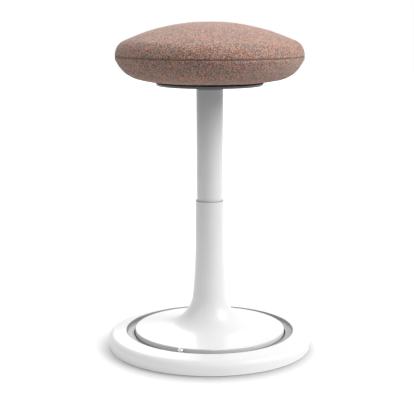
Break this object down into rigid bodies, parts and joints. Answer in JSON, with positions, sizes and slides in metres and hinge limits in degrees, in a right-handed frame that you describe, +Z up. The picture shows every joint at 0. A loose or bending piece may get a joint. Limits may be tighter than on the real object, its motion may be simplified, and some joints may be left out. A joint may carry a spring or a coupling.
{
  "type": "wobble stool",
  "caption": "Height-adjustable wobble stool: round padded seat on a telescopic column that tilts on a ball joint in a heavy ring base with a rolling steel ball in its channel.",
  "frame": {"origin": "on the floor, under the middle of the base", "axes": "+Z up along the column; the stool is round, and -Y faces the picture's camera"},
  "size_m": [0.3992, 0.3992, 0.6332],
  "materials": {
    "white_shell": "smooth satin moulded plastic",
    "white_tube": "satin powder coat",
    "cap_grey": "moulded grey plastic",
    "plate_steel": "black coated steel",
    "rubber_black": "soft rubber",
    "cast_aluminium": "as-cast",
    "bright_steel": "turned steel",
    "screw_steel": "zinc plated",
    "tube_black": "black enamel",
    "ball_chrome": "polished steel",
    "slide_plastic": "natural acetal",
    "plate_grey": "dark grey moulded plastic",
    "pan_black": "black moulded plastic",
    "insert_brass": "knurled brass",
    "foam": "polyurethane foam",
    "seat_fabric": "dusty pink melange woven fabric"
  },
  "bodies": {
    "base": {"base_plate": "plate_steel", "floor_ring": "rubber_black", "base_ring": "white_shell", "tilt_stop_ring": "rubber_black", "ball_stud": "bright_steel", "ring_screws": "screw_steel", "stud_screws": "screw_steel", "rubber_spring": "rubber_black"},
    "liner": {"ball_liner": "slide_plastic"},
    "pedestal": {"foot_casting": "cast_aluminium", "socket_retainer": "cast_aluminium", "retainer_screws": "screw_steel", "column_shell": "white_shell", "shell_screws": "screw_steel", "wiper_ring": "cap_grey", "guide_tube": "bright_steel", "guide_bush": "slide_plastic", "lower_race": "bright_steel"},
    "rod": {"piston_rod": "bright_steel", "rod_clip": "bright_steel", "piston": "bright_steel", "piston_seal": "rubber_black", "upper_race": "bright_steel", "thrust_balls": "bright_steel", "bump_stop": "rubber_black"},
    "seat": {"pressure_tube": "tube_black", "rod_gland": "tube_black", "valve_body": "tube_black", "cover_tube": "white_tube", "tube_cap": "cap_grey", "seat_bracket": "cast_aluminium", "rocker_pins": "bright_steel", "hanger_screws": "screw_steel", "bracket_screws": "screw_steel", "seat_pan": "pan_black", "pan_inserts": "insert_brass", "cover_edge_ring": "pan_black", "seat_foam": "foam", "cover_top": "seat_fabric", "cover_bottom": "seat_fabric"},
    "release": {"release_plate": "plate_grey"},
    "rocker_1": {"release_rocker_1": "bright_steel"},
    "rocker_2": {"release_rocker_2": "bright_steel"},
    "rocker_3": {"release_rocker_3": "bright_steel"},
    "valve": {"valve_pin": "bright_steel", "push_cap": "slide_plastic"},
    "ball": {"track_ball": "ball_chrome"}
  },
  "joints": [
    {"name": "tilt_fore_aft", "type": "hinge", "parent": "base", "child": "liner", "pos_m": [0, 0, 0.027], "axis": [1, 0, 0], "range_deg": [-4.2, 4.2], "stiffness_Nm_per_rad": 220, "deforming": ["rubber_spring"]},
    {"name": "tilt_sideways", "type": "hinge", "parent": "liner", "child": "pedestal", "pos_m": [0, 0, 0.027], "axis": [0, 1, 0], "range_deg": [-4.2, 4.2], "stiffness_Nm_per_rad": 220, "deforming": ["rubber_spring"]},
    {"name": "seat_swivel", "type": "hinge", "parent": "pedestal", "child": "rod", "pos_m": [0, 0, 0.06], "axis": [0, 0, 1], "continuous": true},
    {"name": "seat_height", "type": "slide", "parent": "rod", "child": "seat", "axis": [0, 0, 1], "range_m": [-0.17, 0]},
    {"name": "release_lift", "type": "slide", "parent": "seat", "child": "release", "axis": [0, 0, 1], "range_m": [0, 0.0023], "stiffness_N_per_m": 3000, "springref_m": -0.003},
    {"name": "rocker_turn_1", "type": "hinge", "parent": "seat", "child": "rocker_1", "pos_m": [0.03, 0, 0.5566], "axis": [0, -1, 0], "range_deg": [0, 5.5]},
    {"name": "rocker_turn_2", "type": "hinge", "parent": "seat", "child": "rocker_2", "pos_m": [-0.015, 0.02598, 0.5566], "axis": [0.866, 0.5, 0], "range_deg": [0, 5.5]},
    {"name": "rocker_turn_3", "type": "hinge", "parent": "seat", "child": "rocker_3", "pos_m": [-0.015, -0.02598, 0.5566], "axis": [-0.866, 0.5, 0], "range_deg": [0, 5.5]},
    {"name": "valve_press", "type": "slide", "parent": "seat", "child": "valve", "axis": [0, 0, 1], "range_m": [-0.0025, 0]},
    {"name": "ball_roll", "type": "hinge", "parent": "base", "child": "ball", "pos_m": [0, 0, 0.03205], "axis": [0, 0, 1], "continuous": true}
  ],
  "couplings": [
    {"joint": "rocker_turn_1", "follows": "release_lift", "rad_per_m": 41.667},
    {"joint": "rocker_turn_2", "follows": "release_lift", "rad_per_m": 41.667},
    {"joint": "rocker_turn_3", "follows": "release_lift", "rad_per_m": 41.667},
    {"joint": "valve_press", "follows": "release_lift", "ratio": -1.0833}
  ]
}
